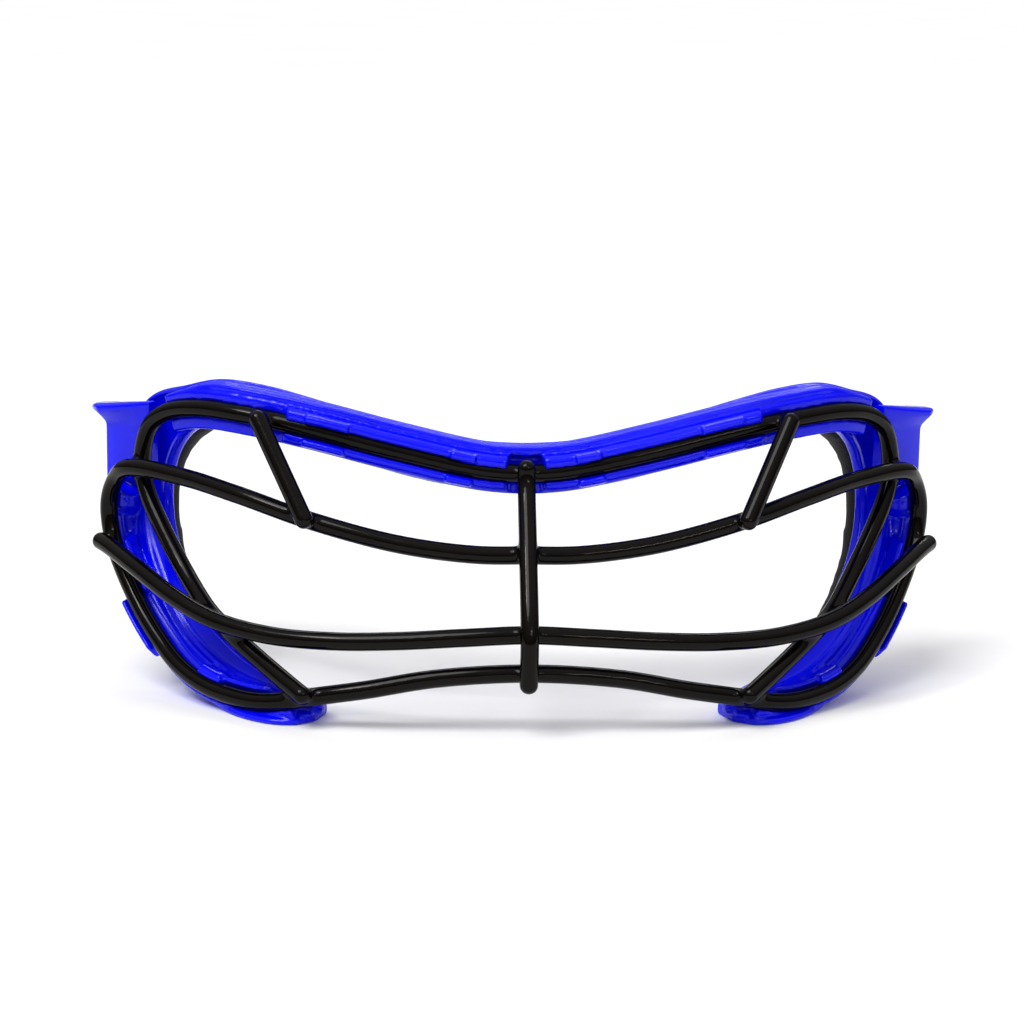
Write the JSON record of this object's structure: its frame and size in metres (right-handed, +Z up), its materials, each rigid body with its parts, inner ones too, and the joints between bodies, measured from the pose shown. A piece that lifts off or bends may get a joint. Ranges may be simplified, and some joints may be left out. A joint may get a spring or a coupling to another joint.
{
  "type": "wire cage sports goggle",
  "caption": "Welded wire cage eye guard on a moulded face frame with brow and side pads and slotted strap brackets, standing on its cheek feet.",
  "frame": {"origin": "on the ground under the middle of the goggle's bounding box", "axes": "+Z up, the cage's front faces -Y, +X towards the wearer's left"},
  "size_m": [0.168, 0.066, 0.0609],
  "materials": {
    "coated_wire": "glossy black coating over steel wire",
    "frame_plastic": "glossy saturated blue moulded plastic",
    "pad_foam": "matte black closed-cell foam"
  },
  "bodies": {
    "root": {"visor_loop_wire": "coated_wire", "brow_wire": "coated_wire", "middle_crossbar": "coated_wire", "centre_bar": "coated_wire", "strut_left": "coated_wire", "strut_right": "coated_wire", "face_frame": "frame_plastic", "brow_pad": "pad_foam", "side_pad_left": "pad_foam", "side_pad_right": "pad_foam"}
  },
  "joints": []
}
